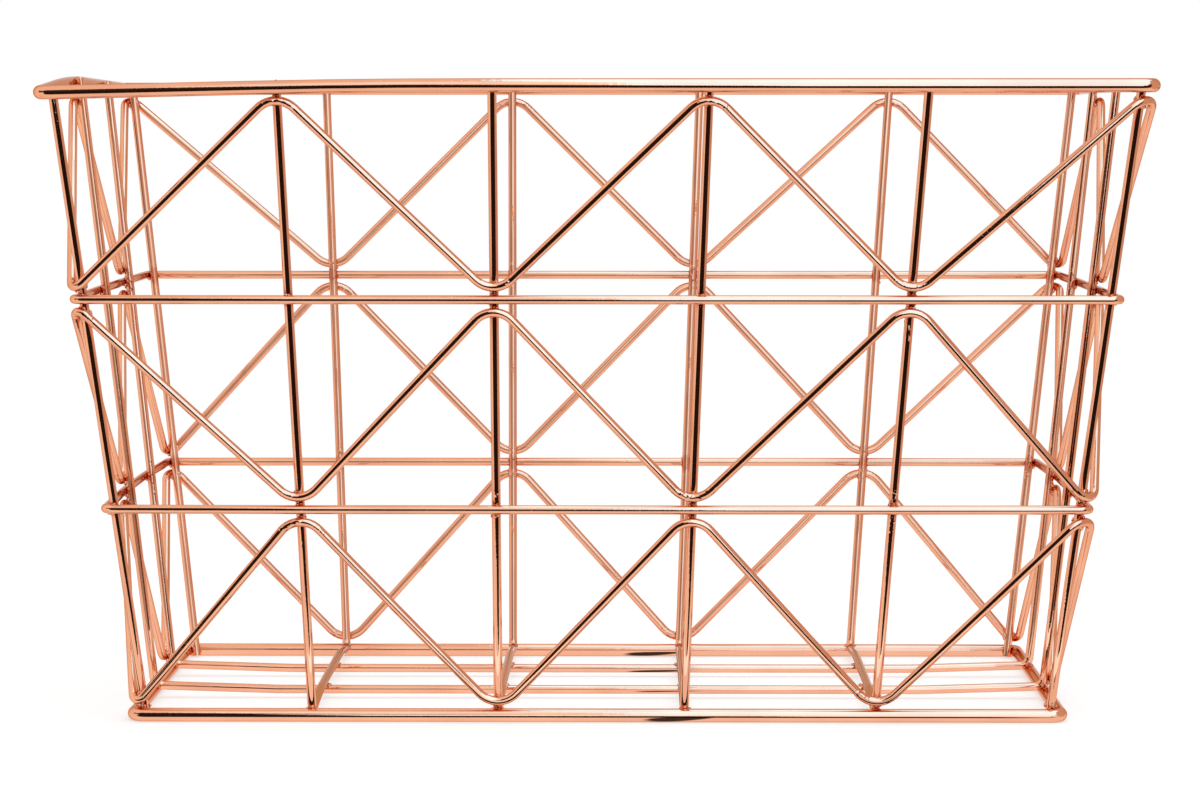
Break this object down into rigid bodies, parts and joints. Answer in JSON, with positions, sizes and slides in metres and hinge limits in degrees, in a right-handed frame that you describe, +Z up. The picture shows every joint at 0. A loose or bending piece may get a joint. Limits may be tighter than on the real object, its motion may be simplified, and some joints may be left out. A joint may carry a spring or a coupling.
{
  "type": "wire locker basket",
  "caption": "Open basket of welded, copper-plated wire with a stout rim and base ring and zigzag bracing, wider at its mouth than at its base.",
  "frame": {"origin": "on the table under the middle of the basket", "axes": "+X along the basket's length to its right end, +Y from the front to the back, +Z up"},
  "size_m": [0.28, 0.168, 0.1651],
  "materials": {
    "copper_plating": "polished copper-coloured plating on steel wire"
  },
  "bodies": {
    "root": {"base_ring": "copper_plating", "corner_post_back_left": "copper_plating", "corner_post_back_right": "copper_plating", "corner_post_front_left": "copper_plating", "corner_post_front_right": "copper_plating", "cross_wire_1": "copper_plating", "cross_wire_2": "copper_plating", "cross_wire_3": "copper_plating", "cross_wire_4": "copper_plating", "long_wire_back": "copper_plating", "long_wire_front": "copper_plating", "lower_ring": "copper_plating", "lower_zigzag": "copper_plating", "middle_zigzag": "copper_plating", "top_rim": "copper_plating", "upper_ring": "copper_plating", "upper_zigzag": "copper_plating"}
  },
  "joints": []
}
